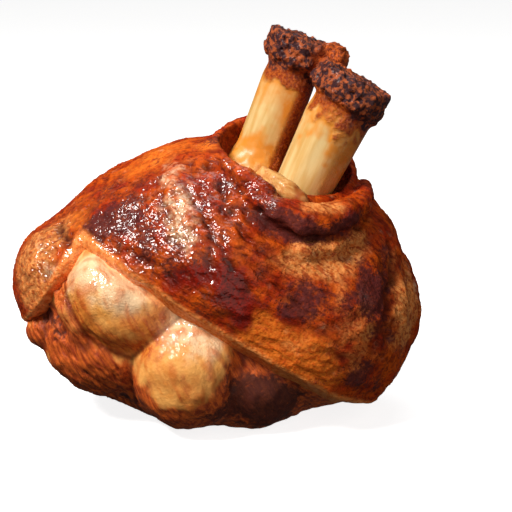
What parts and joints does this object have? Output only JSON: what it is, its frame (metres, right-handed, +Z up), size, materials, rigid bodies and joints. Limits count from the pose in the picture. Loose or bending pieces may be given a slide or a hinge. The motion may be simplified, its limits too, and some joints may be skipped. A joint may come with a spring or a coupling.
{
  "type": "roast pork knuckle",
  "caption": "Whole roast pork knuckle standing on its broad end: browned rind drawn back over lobes of lean meat, with bare burnt bones rising from a rolled collar of rind.",
  "frame": {"origin": "on the surface it stands on, at the middle of the knuckle's box", "axes": "+Z up, -Y towards the side where the rind has drawn back and shows the lean meat, +X towards the side the bones lean to"},
  "size_m": [0.1632, 0.1104, 0.1523],
  "materials": {
    "meat": "roast rind and meat, glossy with fat",
    "bone": "ivory bone with a burnt, rough end",
    "tendon": "pale, moist tendon"
  },
  "bodies": {
    "root": {"meat": "meat", "bone_rear": "bone", "bone_front": "bone", "tendon": "tendon"}
  },
  "joints": []
}
